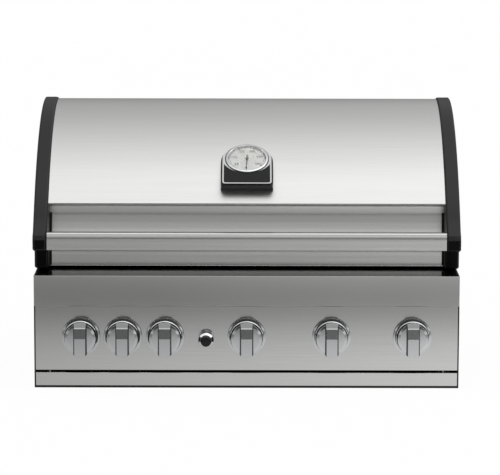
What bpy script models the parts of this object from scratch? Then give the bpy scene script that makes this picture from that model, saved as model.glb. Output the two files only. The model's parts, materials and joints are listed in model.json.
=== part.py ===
# A built-in gas grill: a stainless hood on side hinges over a firebox that drops into a worktop,
# with six push-and-turn gas knobs, an igniter button and a drip tray that slides out in front.
# Metres, +Z up, +X to the right seen from the front, -Y towards the cook.
# The origin is under the middle of the whole grill, level with the underside of its base.

import math

import bmesh
import bpy
from mathutils import Matrix, Vector

for old_object in list(bpy.data.objects):
    bpy.data.objects.remove(old_object, do_unlink=True)

# Overall sizes
hood_width = 0.827
front_inset = 0.0025
panel_inset = 0.0027
body_inset = 0.026
body_back_inset = 0.011
ledge_height = 0.220
hood_rise = 0.305
hood_depth = 0.569
crown_depth = 0.383
knob_reach = 0.041

# Sheet, gaps and the overrun that lets a cutter pass its piece
sheet = 0.0015
thin_sheet = 0.0012
base_sheet = 0.003
gap = 0.0003
overrun = 0.002

# The front: fascia band, control panel, drip tray strip, from the top down
band_height = 0.059
tray_reveal = 0.0052
tray_front_height = 0.0258
tray_front_lift = 0.0042
fold = 0.014
ledge_depth = 0.100
frame_depth = 0.060
frame_sheet = 0.0025

# The hood's side outline, as depths behind the panel's face and rises over the ledge
arc_height = 0.788
cap_foot_rise = 0.004
cap_front_depth = 0.060
cap_width = 0.0275
cap_edge = 0.003
cap_wall = 0.003
cap_rim = 0.006
cap_hollow_rise = 0.100
hinge_corner = 0.028
nose_front_depth = 0.0085
nose_front_rise = 0.068
nose_waist_depth = 0.0125
nose_waist_rise = 0.0770
brow_depth = 0.0246
brow_rise = 0.0844
nose_floor_depth = 0.0095
nose_floor_rise = 0.046
skin_inset = 0.003
skin_edge_rise = 0.132
liner_inset = 0.012
liner_edge_rise = 0.152
liner_tail = 0.013

# The set-back panel behind the handle
lintel_drop = 0.002
throat_depth = 0.107
throat_top_rise = 0.121
throat_rise = 0.100
chin_depth = 0.089
chin_rise = 0.035
lip_depth = 0.085
lip_rise = 0.020
lip_foot_depth = 0.088
lip_foot_rise = 0.005

# The handle bar between the end caps
handle_top_rise = 0.0825
handle_depth = 0.020
handle_brow_depth = 0.0121
handle_brow_rise = 0.081
handle_lip_depth = 0.0095
handle_lip_rise = 0.071
handle_shoulder_rise = 0.058
handle_floor_rise = 0.048
handle_heel_depth = 0.038
handle_wall = 0.002

# The temperature gauge on the hood
gauge_clearance = 0.0034
gauge_slide = 0.028
gauge_foot_rise = 0.171
gauge_wedge_degrees = 12.4
plate_width = 0.096
plate_sheet = 0.003
plate_corner = 0.006
base_margin = 0.003
base_corner = 0.010
base_draft_degrees = 28.0
ring_radius = 0.0405
ring_width = 0.004
ring_centre_up = 0.0735
dial_sheet = 0.001
lens_sheet = 0.0015
lens_drop = 0.001
needle_sheet = 0.0008
needle_clearance = 0.0065
needle_tail = 0.011
needle_width = 0.003
needle_hub = 0.0032
needle_degrees = 3.0
dial_boss = 0.0022
dial_boss_height = 0.0015
probe_radius = 0.004
probe_length = 0.050

# Knobs, from the panel outwards
knob_margin = 0.0435
knob_place_shares = (-0.5, -0.3735, -0.246, 0.0, 0.256, 0.5)
rear_burner_knob = 1
knob_drop = 0.0592
bezel_side_gap = 0.00354325
bezel_play = 0.0053
bezel_rim = 0.002
bezel_height = 0.005
bezel_slope = 0.003
push_travel = 0.003
push_clearance = 0.0005
skirt_inset = 0.001
skirt_length = 0.0115
skirt_chamfer = 0.001
knob_step = 0.0024
neck_length = 0.009
grip_width = 0.0215
grip_slope_length = 0.012
grip_slope_depth = 0.006
stem_radius = 0.0037
stem_in_knob = 0.014
knob_wall = 0.003
boss_wall = 0.0043
knob_hollow = 0.016
stem_hole_play = 0.0033

# Igniter button
igniter_span_share = -0.122
igniter_drop = 0.004
collar_wall = 0.0047
collar_length = 0.024
collar_chamfer = 0.003
button_radius = 0.010
button_proud = 0.011
button_tail = 0.004
module_width = 0.034
module_height = 0.034
module_length = 0.045
module_bore_depth = 0.012

# Gas valves on their manifold
valve_width = 0.026
valve_top = 0.014
valve_front_gap = 0.0015
valve_length = 0.048
stem_in_valve = 0.040
manifold_side = 0.020
manifold_clearance = 0.001
manifold_overhang = 0.026
manifold_depth = 0.020
nozzle_radius = 0.005
nozzle_length = 0.036
nozzle_entry = 0.0055
supply_radius = 0.006
supply_bend = 0.018
inlet_radius = 0.011

# Firebox
wall_air = 0.0195
back_air = 0.033
firebox_front_gap = 0.002
firebox_floor_height = 0.048
back_wall_rise = 0.110
flange_clearance = 0.002
front_flange_width = 0.030
grease_slot_margin = 0.084
grease_slot_width = 0.090
shelf_depth = 0.010
grate_drop = 0.0342
plate_drop = 0.0415

# Burners, heat plates, grates, rack
burner_radius = 0.013
burner_wall = 0.002
burner_end = 0.0432
heat_plate_half_width = 0.045
heat_plate_rise = 0.020
heat_rail_depth = 0.008
heat_rail_height = 0.0035
heat_plate_sink = 0.001
grate_count = 3
grate_height = 0.010
grate_bar = 0.008
grate_bar_gap = 0.012
grate_gap = 0.0015
grate_cross_bar = 0.012
grate_cross_count = 3
rear_burner_margin = 0.064
rear_burner_height = 0.084
rear_burner_depth = 0.026
rear_burner_rise = 0.009
rear_burner_rim = 0.012
rear_burner_recess = 0.006
rear_burner_hollow = 0.012
rack_rise = 0.098
rack_depth = 0.100
rack_clearance = 0.0052
rack_wire = 0.005
rack_wire_gap = 0.013
rack_cross_gap = 0.160
rack_leg = 0.005

# Casing
rail_drop = 0.015
rail_overhang = 0.0165
rail_leg = 0.015
rim_height = 0.0145
rim_width = 0.0255
rail_front_lag = 0.002
rail_back_inset = 0.004
deck_gap = 0.002

# Drip tray and its runners
tray_side_gap = 0.0022
tray_base_gap = 0.0025
tray_back_gap = 0.025
tray_wall_height = 0.0215
tray_lip = 0.006
runner_leg = 0.0093

# Hinges
bracket_sheet = 0.011
bracket_foot_length = 0.050
bracket_foot_gap = 0.022
bracket_eye = 0.011
pin_radius = 0.006
pin_length = 0.014

# Counts of faces round a circle and along an arc, shading angles and the merge distance
knob_facets = 36
small_facets = 20
arc_steps = 16
back_steps = 9
corner_steps = 6
hexagon = 6
smooth_degrees = 30
edge_degrees = 60
flat_degrees = 1
merge_share = 0.1

# Places worked out from the sizes
front_width = hood_width - 2 * front_inset
panel_width = front_width - 2 * panel_inset
body_width = front_width - 2 * body_inset
panel_y = (knob_reach - hood_depth) / 2
pivot_depth = hood_depth - hinge_corner
pivot_rise = cap_foot_rise + hinge_corner
cap_inner = hood_width / 2 - cap_width
bay_half_width = cap_inner - gap
panel_top = ledge_height - band_height - gap
panel_bottom = tray_front_lift + tray_front_height + tray_reveal
body_front_depth = frame_depth
body_back_depth = hood_depth - body_back_inset
rail_height = ledge_height - rail_drop
rail_inner = body_width / 2 - rail_overhang
rail_back_depth = body_back_depth - rail_back_inset
firebox_width = body_width - 2 * (sheet + wall_air)
firebox_front_depth = ledge_depth + firebox_front_gap
firebox_back_depth = body_back_depth - back_air
firebox_rim_height = ledge_height - sheet - gap
rail_front_depth = firebox_front_depth + rail_front_lag
back_deck_depth = firebox_back_depth + deck_gap
side_flange_height = rail_height + sheet + gap
flange_reach = cap_inner - flange_clearance
grease_slot_length = firebox_width - 2 * grease_slot_margin
grate_shelf_height = firebox_rim_height - grate_drop
plate_shelf_height = grate_shelf_height - plate_drop
rear_burner_width = firebox_width - 2 * rear_burner_margin
rack_back_depth = firebox_back_depth - sheet - gap - rear_burner_depth - rack_clearance
tray_half_width = body_width / 2 - sheet - runner_leg - tray_side_gap
tray_floor_height = base_sheet + tray_base_gap
tray_depth = firebox_back_depth - tray_back_gap
knob_span = firebox_width - 2 * knob_margin
knob_axis_height = panel_top - knob_drop
igniter_axis_height = knob_axis_height - igniter_drop
knob_places = [share * knob_span for share in knob_place_shares]
knob_pitch = min(right - left for left, right in zip(knob_places, knob_places[1:]))
bezel_radius = knob_pitch / 2 - bezel_side_gap
bezel_bore = stem_radius + bezel_play
bezel_land = bezel_radius - bezel_slope
skirt_radius = bezel_land - skirt_inset
knob_radius = skirt_radius - knob_step
knob_boss = stem_radius + boss_wall
panel_stem_hole = stem_radius + stem_hole_play
collar_radius = button_radius + gap + collar_wall
manifold_drop = igniter_drop + module_height / 2 + manifold_clearance
burner_front_depth = valve_front_gap + valve_length + nozzle_length - nozzle_entry
plate_length = ring_centre_up + ring_radius
window_radius = ring_radius - ring_width
needle_length = window_radius - needle_clearance
burner_places = [x for i, x in enumerate(knob_places) if i != rear_burner_knob]
igniter_x = igniter_span_share * knob_span
bezel_front = -bezel_height - gap
skirt_back = bezel_front - push_travel - push_clearance
skirt_front = skirt_back - skirt_length
neck_front = skirt_front - neck_length

# Finishes: colour, roughness, metallic
brushed_steel = ((0.62, 0.62, 0.62), 0.35, 1.0)
polished_steel = ((0.75, 0.75, 0.75), 0.15, 1.0)
raw_steel = ((0.45, 0.45, 0.44), 0.5, 1.0)
black_casting = ((0.03, 0.03, 0.03), 0.5, 0.0)
black_paint = ((0.015, 0.015, 0.015), 0.4, 0.0)
black_plastic = ((0.02, 0.02, 0.02), 0.3, 0.0)
brass = ((0.65, 0.50, 0.22), 0.35, 1.0)
ceramic = ((0.55, 0.50, 0.44), 0.8, 0.0)
white_enamel = ((0.8, 0.8, 0.78), 0.4, 0.0)
clear_glass = ((0.9, 0.95, 0.95), 0.05, 0.0)


def material_for(name, finish):
    colour, roughness, metallic = finish
    material = bpy.data.materials.new(name)
    material.use_nodes = True
    shader = material.node_tree.nodes["Principled BSDF"]
    shader.inputs["Base Color"].default_value = (*colour, 1.0)
    shader.inputs["Roughness"].default_value = roughness
    shader.inputs["Metallic"].default_value = metallic
    return material


def place(name, shape, finish, at=(0.0, 0.0, 0.0), turn=None):
    """A bmesh made into an object; its faces are turned to point outwards."""
    bmesh.ops.recalc_face_normals(shape, faces=shape.faces)
    mesh = bpy.data.meshes.new(name)
    shape.to_mesh(mesh)
    shape.free()
    mesh.shade_smooth()
    mesh.set_sharp_from_angle(angle=math.radians(smooth_degrees))
    piece = bpy.data.objects.new(name, mesh)
    bpy.context.scene.collection.objects.link(piece)
    piece.data.materials.append(material_for(name, finish))
    piece.location = at
    if turn is not None:
        piece.rotation_euler = turn
    return piece


def add_prism(shape, outline, low, high, along):
    """Extrudes a flat outline along X, Y or Z, from low to high."""
    lift = {"X": lambda p: (low, *p), "Y": lambda p: (p[0], low, p[1]), "Z": lambda p: (*p, low)}
    step = {"X": (high - low, 0, 0), "Y": (0, high - low, 0), "Z": (0, 0, high - low)}
    corners = [shape.verts.new(lift[along](point)) for point in outline]
    face = shape.faces.new(corners)
    grown = bmesh.ops.extrude_face_region(shape, geom=[face])
    moved = [item for item in grown["geom"] if isinstance(item, bmesh.types.BMVert)]
    bmesh.ops.translate(shape, verts=moved, vec=step[along])


def prism(outline, low, high, along="X"):
    shape = bmesh.new()
    add_prism(shape, outline, low, high, along)
    return shape


def block(x_low, x_high, y_low, y_high, z_low, z_high):
    corners = [(x_low, y_low), (x_high, y_low), (x_high, y_high), (x_low, y_high)]
    return prism(corners, z_low, z_high, "Z")


def turned(profile, facets, centre=(0.0, 0.0, 0.0)):
    """A round piece about the Y axis, from a closed profile of radius and depth."""
    shape = bmesh.new()
    ring = [shape.verts.new((radius, depth, 0.0)) for radius, depth in profile]
    pairs = zip(ring, ring[1:] + ring[:1])
    edges = [shape.edges.new(pair) for pair in pairs if any(end.co.x > 0 for end in pair)]
    bmesh.ops.spin(
        shape, geom=ring + edges, angle=math.tau, steps=facets, use_merge=True,
        axis=(0, 1, 0), cent=(0, 0, 0),
    )
    bmesh.ops.remove_doubles(shape, verts=shape.verts, dist=gap * merge_share)
    bmesh.ops.translate(shape, verts=shape.verts, vec=centre)
    return shape


def rod(radius, y_low, y_high, facets, x=0.0, z=0.0):
    return turned([(0, y_low), (radius, y_low), (radius, y_high), (0, y_high)], facets, (x, 0, z))


def cross_rod(radius, x_low, x_high, y, z, facets):
    """A round bar along X."""
    shape = bmesh.new()
    ring = [
        shape.verts.new((x_low, y + radius * math.cos(a), z + radius * math.sin(a)))
        for a in (math.tau * i / facets for i in range(facets))
    ]
    grown = bmesh.ops.extrude_face_region(shape, geom=[shape.faces.new(ring)])
    moved = [item for item in grown["geom"] if isinstance(item, bmesh.types.BMVert)]
    bmesh.ops.translate(shape, verts=moved, vec=(x_high - x_low, 0, 0))
    return shape


def combine(piece, shapes, operation):
    """Adds, cuts or keeps the common part of other shapes, as Boolean modifiers on the piece."""
    for shape in shapes:
        tool_name = f"{piece.name}_{operation.lower()}_{len(piece.modifiers)}"
        tool = place(tool_name, shape, raw_steel)
        tool.hide_render = True
        tool.display_type = "WIRE"
        modifier = piece.modifiers.new(tool_name, "BOOLEAN")
        modifier.operation = operation
        modifier.solver = "EXACT"
        modifier.object = tool
    return piece


def add(piece, *shapes):
    return combine(piece, shapes, "UNION")


def cut(piece, *shapes):
    return combine(piece, shapes, "DIFFERENCE")


def keep(piece, *shapes):
    return combine(piece, shapes, "INTERSECT")


def behind(depth):
    """The Y of a place this far behind the control panel's face."""
    return panel_y + depth


def above(rise):
    """The Z of a place this far over the fascia's ledge."""
    return ledge_height + rise


def spots(points):
    """Depths and rises turned into Y and Z."""
    return [(behind(depth), above(rise)) for depth, rise in points]


def front_arc():
    """Centre rise and half depth of the hood's long front arc, which meets the caps at the brow."""
    centre_rise = hood_rise - arc_height
    lift = (brow_rise - centre_rise) / arc_height
    return centre_rise, (crown_depth - brow_depth) / math.sqrt(1 - lift * lift)


def arc_point(inset, angle):
    centre_rise, half_depth = front_arc()
    depth = crown_depth - (half_depth - inset) * math.cos(angle)
    return depth, centre_rise + (arc_height - inset) * math.sin(angle)


def arc_start(inset, rise):
    """The angle at which the front arc, drawn in by an inset, stands at a rise."""
    return math.asin((rise - front_arc()[0]) / (arc_height - inset))


def hood_arc(inset, front_rise, back_rise):
    """The hood's curve from front to back, drawn in by an inset: a long front arc, a short back one."""
    start = arc_start(inset, front_rise)
    points = []
    for i in range(arc_steps + 1):
        points.append(arc_point(inset, start + (math.pi / 2 - start) * i / arc_steps))
    back_height = hood_rise - pivot_rise - inset
    back_half = hood_depth - crown_depth - inset
    end = math.asin((back_rise - pivot_rise) / back_height)
    for i in range(1, back_steps + 1):
        angle = math.pi / 2 + (end - math.pi / 2) * i / back_steps
        depth = crown_depth + back_half * math.cos(angle)
        points.append((depth, pivot_rise + back_height * math.sin(angle)))
    return points


def strip(points, thickness):
    """A folded sheet: the outline of a line of points with its thickness to the right of the line."""
    normals = []
    for a, b in zip(points, points[1:]):
        run = Vector(b) - Vector(a)
        normals.append(Vector((run.y, -run.x)).normalized())
    other = []
    for i, point in enumerate(points):
        before = normals[max(i - 1, 0)]
        after = normals[min(i, len(normals) - 1)]
        middle = (before + after).normalized()
        other.append(tuple(Vector(point) + middle * (thickness / middle.dot(after))))
    return list(points) + other[::-1]


def drawn_in(outline, wall):
    """A closed outline moved inwards by a wall; its points run clockwise."""
    inner = []
    for before, point, after in zip(outline[-1:] + outline[:-1], outline, outline[1:] + outline[:1]):
        run_in = (Vector(point) - Vector(before)).normalized()
        run_out = (Vector(after) - Vector(point)).normalized()
        left_in = Vector((-run_in.y, run_in.x))
        left_out = Vector((-run_out.y, run_out.x))
        middle = (left_in + left_out).normalized()
        inner.append(tuple(Vector(point) + middle * (wall / middle.dot(left_out))))
    return inner


def arc(centre, radius, start, end, steps):
    angles = [start + (end - start) * i / steps for i in range(steps + 1)]
    return [(centre[0] + radius * math.cos(a), centre[1] + radius * math.sin(a)) for a in angles]


def slotted(x_low, x_high, y_low, y_high, z_low, z_high, x_slots, y_slots):
    """A flat plate with a grid of rectangular holes, one for each pair of an x slot and a y slot."""
    shape = bmesh.new()
    xs = sorted({x_low, x_high, *(x for slot in x_slots for x in slot)})
    ys = sorted({y_low, y_high, *(y for slot in y_slots for y in slot)})
    grid = [[shape.verts.new((x, y, z_low)) for y in ys] for x in xs]
    for i, x in enumerate(xs[:-1]):
        for j, y in enumerate(ys[:-1]):
            if not (x in {a for a, b in x_slots} and y in {a for a, b in y_slots}):
                shape.faces.new((grid[i][j], grid[i + 1][j], grid[i + 1][j + 1], grid[i][j + 1]))
    grown = bmesh.ops.extrude_face_region(shape, geom=list(shape.faces))
    moved = [item for item in grown["geom"] if isinstance(item, bmesh.types.BMVert)]
    bmesh.ops.translate(shape, verts=moved, vec=(0, 0, z_high - z_low))
    bmesh.ops.recalc_face_normals(shape, faces=shape.faces)
    bmesh.ops.dissolve_limit(
        shape, angle_limit=math.radians(flat_degrees), verts=shape.verts, edges=shape.edges
    )
    return shape


def mirrored(outline, side):
    return [(side * x, y) for x, y in outline]


def make_casing():
    half = body_width / 2
    front_half = front_width / 2
    front = behind(0)
    step = behind(body_front_depth)
    back = behind(body_back_depth)
    base = [
        (-front_half, front), (front_half, front), (front_half, step - gap), (half, step - gap),
        (half, back), (-half, back), (-half, step - gap), (-front_half, step - gap),
    ]
    place("casing_base", prism(base, 0, base_sheet, "Z"), black_paint)
    wall_low = base_sheet + gap
    wall_high = rail_height - gap
    for side, word in ((-1, "left"), (1, "right")):
        outer = front_half
        frame = [
            (outer, front), (outer, behind(frame_depth)), (half + gap, behind(frame_depth)),
            (half + gap, behind(frame_depth) - frame_sheet),
            (outer - frame_sheet, behind(frame_depth) - frame_sheet), (outer - frame_sheet, front),
        ]
        shape = prism(mirrored(frame, side), wall_low, panel_top, "Z")
        place(f"front_frame_{word}", shape, black_paint)
        wall = [
            (half, step), (half, back - sheet - gap), (half - sheet, back - sheet - gap),
            (half - sheet, step),
        ]
        panel = place(f"side_panel_{word}", prism(mirrored(wall, side), wall_low, wall_high, "Z"),
                      black_paint)
        runner_high = tray_floor_height + tray_wall_height - thin_sheet - gap
        leg_inner = half - sheet - runner_leg
        leg = [
            (leg_inner, step), (half - sheet / 2, step), (half - sheet / 2, behind(tray_depth)),
            (leg_inner, behind(tray_depth)),
        ]
        add(panel, prism(mirrored(leg, side), runner_high - thin_sheet, runner_high, "Z"))
        make_rail(side, word)
    make_rear_panel(half, back)


def make_rail(side, word):
    """The angle that rests on the worktop, with the raised rim that the hood closes over."""
    low = rail_height
    outer = cap_inner + rim_width + gap
    front, back = behind(rail_front_depth), behind(rail_back_depth)
    leg_inner = body_width / 2 + gap
    leg_outer = leg_inner + sheet
    section = [
        (rail_inner, low), (leg_inner, low), (leg_inner, low - rail_leg),
        (leg_outer, low - rail_leg), (leg_outer, low), (outer, low),
        (outer, low + sheet + rim_height), (outer - rim_width, low + sheet + rim_height),
        (outer - rim_width, low + sheet), (rail_inner, low + sheet),
    ]
    place(f"worktop_rail_{word}", prism(mirrored(section, side), front, back, "Y"), black_paint)


def make_rear_panel(half, back):
    """Back sheet with a deck folded forward over the air gap, and the hole for the gas pipe."""
    deck_low = firebox_rim_height - sheet
    section = [
        (back, base_sheet + gap), (back, firebox_rim_height),
        (behind(back_deck_depth), firebox_rim_height), (behind(back_deck_depth), deck_low),
        (back - sheet, deck_low), (back - sheet, base_sheet + gap),
    ]
    panel = place("rear_panel", prism(section, -half, half), black_paint)
    x, z = supply_route()[-1][0], supply_route()[-1][2]
    hole = supply_radius + gap
    cut(panel, rod(hole, back - sheet - overrun, back + overrun, small_facets, x, z))


def make_front():
    half = front_width / 2
    front = behind(0)
    band_low = ledge_height - band_height
    under = ledge_height - sheet
    section = [
        (front, band_low), (front, ledge_height), (behind(ledge_depth), ledge_height),
        (behind(ledge_depth), under), (front + sheet, under), (front + sheet, band_low + sheet),
        (front + fold, band_low + sheet), (front + fold, band_low),
    ]
    band = place("fascia_band", prism(section, -half, half), brushed_steel)
    for side in (-1, 1):
        inner, outer = sorted((side * (half - sheet), side * half))
        add(band, block(inner, outer, front, behind(frame_depth), band_low, ledge_height))
    half = panel_width / 2
    section = [
        (front, panel_bottom), (front, panel_top), (front + sheet, panel_top),
        (front + sheet, panel_bottom + sheet), (front + fold, panel_bottom + sheet),
        (front + fold, panel_bottom),
    ]
    panel = place("control_panel", prism(section, -half, half), brushed_steel)
    low, high = front - overrun, front + sheet + overrun
    for x in knob_places:
        cut(panel, rod(panel_stem_hole, low, high, small_facets, x, knob_axis_height))
    cut(panel, rod(button_radius + gap, low, high, small_facets, igniter_x, igniter_axis_height))


def make_firebox():
    half = firebox_width / 2
    front, back = behind(firebox_front_depth), behind(firebox_back_depth)
    floor, rim, top = firebox_floor_height, firebox_rim_height, above(back_wall_rise)
    liner = place("firebox_liner", block(-half, half, front, back, floor, rim), raw_steel)
    add(liner, block(-half, half, back - sheet, back, floor, top))
    inner = half - sheet
    cut(liner, block(-inner, inner, front + sheet, back - sheet, floor + sheet, rim + overrun))
    slot_y = (front + back) / 2
    cut(liner, block(-grease_slot_length / 2, grease_slot_length / 2, slot_y - grease_slot_width / 2,
                     slot_y + grease_slot_width / 2, floor - overrun, floor + sheet + overrun))
    for side in (-1, 1):
        x_low, x_high = sorted((side * (half - sheet), side * flange_reach))
        add(liner, block(x_low, x_high, behind(rail_front_depth), back - sheet,
                         side_flange_height, side_flange_height + sheet))
    add(liner, block(-half, half, front - front_flange_width, front + sheet, rim - sheet, rim))
    for height in (grate_shelf_height, plate_shelf_height):
        for y in (front + sheet / 2, back - sheet / 2 - shelf_depth):
            add(liner, block(-inner - sheet / 2, inner + sheet / 2, y, y + shelf_depth,
                             height, height + thin_sheet))
    hole = burner_radius + gap
    for x in burner_places:
        cut(liner, rod(hole, front - overrun, front + sheet + overrun, small_facets, x,
                       knob_axis_height))


def make_burners():
    tail = firebox_back_depth - sheet - gap
    bore = burner_radius - burner_wall
    for number, x in enumerate(burner_places, 1):
        front = behind(burner_front_depth)
        bore_end = behind(tail - burner_end)
        profile = [
            (0, bore_end), (bore, bore_end), (bore, front),
            (burner_radius, front), (burner_radius, behind(tail)), (0, behind(tail)),
        ]
        shape = turned(profile, small_facets, (x, 0, knob_axis_height))
        place(f"main_burner_{number}", shape, raw_steel)


def make_heat_plates():
    """Five roof-shaped plates, one over each burner, welded to two cross rails."""
    inner = firebox_width / 2 - sheet - gap
    front = behind(firebox_front_depth) + sheet + gap
    back = behind(firebox_back_depth) - sheet - gap
    low = plate_shelf_height + thin_sheet + gap
    high = low + heat_rail_height
    rails = place("heat_plates", block(-inner, inner, front, front + heat_rail_depth, low, high),
                  raw_steel)
    add(rails, block(-inner, inner, back - heat_rail_depth, back, low, high))
    foot = high - heat_plate_sink
    half = heat_plate_half_width
    reach = heat_rail_depth / 2
    for x in burner_places:
        left = max(x - half, -inner)
        right = min(x + half, inner)
        roof = [(left, foot), (x, foot + heat_plate_rise), (right, foot)]
        add(rails, prism(strip(roof, thin_sheet), front + reach, back - reach, "Y"))


def make_grates():
    inner = firebox_width / 2 - sheet - gap
    front = behind(firebox_front_depth) + sheet + gap
    back = behind(firebox_back_depth) - sheet - gap
    low = grate_shelf_height + thin_sheet + gap
    pitch = 2 * inner / grate_count
    bay = (back - front - grate_cross_bar) / (grate_cross_count - 1)
    y_slots = [
        (front + i * bay + grate_cross_bar, front + (i + 1) * bay)
        for i in range(grate_cross_count - 1)
    ]
    for number in range(grate_count):
        left = -inner + number * pitch + grate_gap / 2
        right = left + pitch - grate_gap
        count = round((right - left - grate_bar) / (grate_bar + grate_bar_gap))
        step = (right - left - grate_bar) / count
        x_slots = [(left + i * step + grate_bar, left + (i + 1) * step) for i in range(count)]
        shape = slotted(left, right, front, back, low, low + grate_height, x_slots, y_slots)
        place(f"cooking_grate_{number + 1}", shape, raw_steel)


def make_rear_burner():
    half = rear_burner_width / 2
    back = behind(firebox_back_depth) - sheet - gap
    front = back - rear_burner_depth
    low = above(rear_burner_rise)
    high = low + rear_burner_height
    box = place("rear_burner", block(-half, half, front, back, low, high), ceramic)
    rim = rear_burner_rim
    cut(box, block(-half + rim, half - rim, front - overrun, front + rear_burner_recess,
                   low + rim, high - rim))
    cut(box, block(-half + sheet, half - sheet, back - rear_burner_hollow, back + overrun,
                   low + sheet, high - sheet))


def make_rack():
    """Warming rack: a grille of wires on two end legs that stand on the firebox's side flanges."""
    wall = firebox_width / 2
    outer = wall + gap + rack_leg
    front, back = behind(rack_back_depth - rack_depth), behind(rack_back_depth)
    low = above(rack_rise)
    count = round((rack_depth - rack_wire) / (rack_wire + rack_wire_gap))
    step = (rack_depth - rack_wire) / count
    y_slots = [(front + i * step + rack_wire, front + (i + 1) * step) for i in range(count)]
    bays = round((2 * outer - rack_wire) / rack_cross_gap)
    bay = (2 * outer - rack_wire) / bays
    x_slots = [(-outer + i * bay + rack_wire, -outer + (i + 1) * bay) for i in range(bays)]
    shape = slotted(-outer, outer, front, back, low, low + rack_wire, x_slots, y_slots)
    rack = place("warming_rack", shape, polished_steel)
    foot = side_flange_height + sheet + gap
    for side in (-1, 1):
        x_low, x_high = sorted((side * (wall + gap), side * outer))
        for y in (front, back - rack_leg):
            add(rack, block(x_low, x_high, y, y + rack_leg, foot, low + rack_wire / 2))


def supply_route():
    """The gas pipe: out of the manifold's end, round a bend and back along the right wall."""
    x = (firebox_width / 2 + body_width / 2 - sheet) / 2
    y = behind(manifold_depth + manifold_side / 2)
    z = manifold_height()
    start = knob_places[-1] + manifold_overhang + gap
    bend = [
        (x - supply_bend + px, y + supply_bend + py, z)
        for px, py in arc((0, 0), supply_bend, -math.pi / 2, 0, corner_steps)
    ]
    return [(start, y, z), *bend, (x, behind(body_back_depth) + overrun, z)]


def manifold_height():
    return knob_axis_height - manifold_drop - manifold_side / 2


def make_gas_train():
    z_low = manifold_height() - manifold_side / 2
    z_high = manifold_height() + manifold_side / 2
    y_low = behind(manifold_depth)
    overhang = manifold_overhang
    shape = block(knob_places[0] - overhang, knob_places[-1] + overhang, y_low,
                  y_low + manifold_side, z_low, z_high)
    train = place("gas_manifold", shape, brass)
    front = behind(sheet + valve_front_gap)
    for number, x in enumerate(knob_places):
        half = valve_width / 2
        add(train, block(x - half, x + half, front, front + valve_length,
                         z_high - sheet, knob_axis_height + valve_top))
        if number != rear_burner_knob:
            nozzle_low = front + valve_length - sheet
            add(train, rod(nozzle_radius, nozzle_low, nozzle_low + nozzle_length, small_facets,
                           x, knob_axis_height))
        bore_end = front + stem_in_valve + push_travel + push_clearance
        cut(train, rod(stem_radius + gap, front - overrun, bore_end, small_facets, x,
                       knob_axis_height))
    make_supply_pipe()


def make_supply_pipe():
    route = supply_route()
    curve = bpy.data.curves.new("supply_pipe_route", "CURVE")
    curve.dimensions = "3D"
    curve.bevel_depth = supply_radius
    curve.bevel_resolution = 2
    curve.use_fill_caps = True
    line = curve.splines.new("POLY")
    line.points.add(len(route) - 1)
    for point, spot in zip(line.points, route):
        point.co = (*spot, 1.0)
    guide = bpy.data.objects.new("supply_pipe_guide", curve)
    bpy.context.scene.collection.objects.link(guide)
    pipe_mesh = bpy.data.meshes.new_from_object(guide)
    bpy.data.objects.remove(guide, do_unlink=True)
    shape = bmesh.new()
    shape.from_mesh(pipe_mesh)
    bmesh.ops.remove_doubles(shape, verts=shape.verts, dist=gap * merge_share)
    pipe = place("supply_pipe", shape, brass)
    x, y, z = route[-1]
    low = behind(body_back_depth) + gap
    add(pipe, rod(inlet_radius, low, behind(hood_depth), hexagon, x, z))


def make_knobs():
    front = behind(0)
    for number, x in enumerate(knob_places, 1):
        z = knob_axis_height
        bezel = [
            (bezel_bore, -gap), (bezel_radius, -gap), (bezel_radius, -gap - bezel_rim),
            (bezel_land, bezel_front), (bezel_bore, bezel_front),
        ]
        place(f"knob_bezel_{number}", turned(bezel, knob_facets), polished_steel, (x, front, z))
        bore = stem_radius + gap
        tip = skirt_back - stem_in_knob
        bore_end = tip - gap
        hollow = knob_radius - knob_wall
        hollow_end = skirt_back - knob_hollow
        body = [
            (knob_boss, skirt_back), (bore, skirt_back), (bore, bore_end), (0, bore_end),
            (0, -knob_reach), (knob_radius, -knob_reach), (knob_radius, skirt_front),
            (skirt_radius - skirt_chamfer, skirt_front), (skirt_radius, skirt_front + skirt_chamfer),
            (skirt_radius, skirt_back), (hollow, skirt_back), (hollow, hollow_end),
            (knob_boss, hollow_end),
        ]
        knob = place(f"knob_{number}", turned(body, knob_facets), polished_steel, (x, front, z))
        for side in (-1, 1):
            x_low, x_high = sorted((side * grip_width / 2, side * (knob_radius + overrun)))
            cut(knob, moved(block(x_low, x_high, -knob_reach - overrun, neck_front,
                                  -knob_radius - overrun, knob_radius + overrun), (x, front, z)))
        slope = [
            (-knob_reach - overrun, knob_radius - grip_slope_length),
            (-knob_reach, knob_radius - grip_slope_length),
            (-knob_reach + grip_slope_depth, knob_radius),
            (-knob_reach + grip_slope_depth, knob_radius + overrun),
            (-knob_reach - overrun, knob_radius + overrun),
        ]
        cut(knob, moved(prism(slope, -grip_width, grip_width), (x, front, z)))
        stem_end = sheet + valve_front_gap + stem_in_valve
        stem = rod(stem_radius, tip, stem_end, small_facets)
        place(f"valve_stem_{number}", stem, brass, (x, front, z))


def moved(shape, at):
    bmesh.ops.translate(shape, verts=shape.verts, vec=at)
    return shape


def make_igniter():
    front = behind(0)
    x, z = igniter_x, igniter_axis_height
    bore = button_radius + gap
    collar_front = -collar_length - gap
    collar = [
        (bore, -gap), (collar_radius, -gap), (collar_radius, collar_front + collar_chamfer),
        (collar_radius - collar_chamfer, collar_front), (bore, collar_front),
    ]
    place("igniter_collar", turned(collar, knob_facets), polished_steel, (x, front, z))
    button_front = collar_front - button_proud
    place("igniter_button", rod(button_radius, button_front, button_tail, small_facets),
          black_plastic, (x, front, z))
    low = front + sheet + gap
    half_width, half_height = module_width / 2, module_height / 2
    module = place("igniter_module", block(x - half_width, x + half_width, low, low + module_length,
                                           z - half_height, z + half_height), black_plastic)
    cut(module, rod(bore, low - overrun, low + module_bore_depth, small_facets, x, z))


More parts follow.
